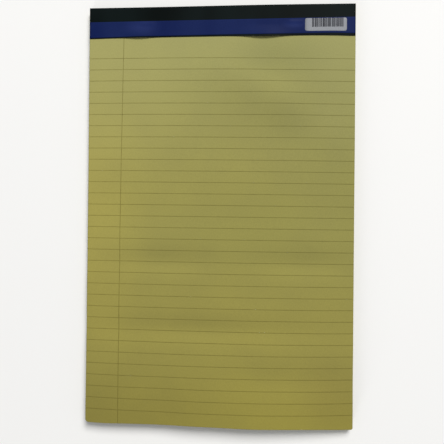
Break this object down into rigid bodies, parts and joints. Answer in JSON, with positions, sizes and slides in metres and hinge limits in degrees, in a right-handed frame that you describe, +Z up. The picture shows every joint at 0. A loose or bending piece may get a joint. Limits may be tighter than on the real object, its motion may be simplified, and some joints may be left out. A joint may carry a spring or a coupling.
{
  "type": "legal pad",
  "caption": "Head-bound legal pad: a block of yellow ruled sheets on a grey backing board, with a black and blue printed strip folded round the stapled head, for handwritten notes.",
  "frame": {"origin": "middle of the flat back face that the pad rests on", "axes": "+X across the sheet to the reader's right, +Y along the sheet to the bound head, +Z up out of the top sheet"},
  "size_m": [0.21, 0.33, 0.0118],
  "materials": {
    "yellow_paper": "uncoated yellow writing paper",
    "grey_board": "uncoated grey board with flecks",
    "black_strip": "printed black, satin",
    "blue_print": "printed dark blue, satin",
    "white_print": "white paper, satin",
    "rule_ink": "thin grey ink on yellow paper",
    "bar_ink": "black ink",
    "staple_wire": "galvanised flat wire"
  },
  "bodies": {
    "root": {"backing_board": "grey_board", "page_block": "yellow_paper", "staples": "staple_wire", "header_strip": "black_strip", "ruling": "rule_ink", "blue_field": "blue_print", "barcode_panel": "white_print", "barcode_bars": "bar_ink"}
  },
  "joints": []
}
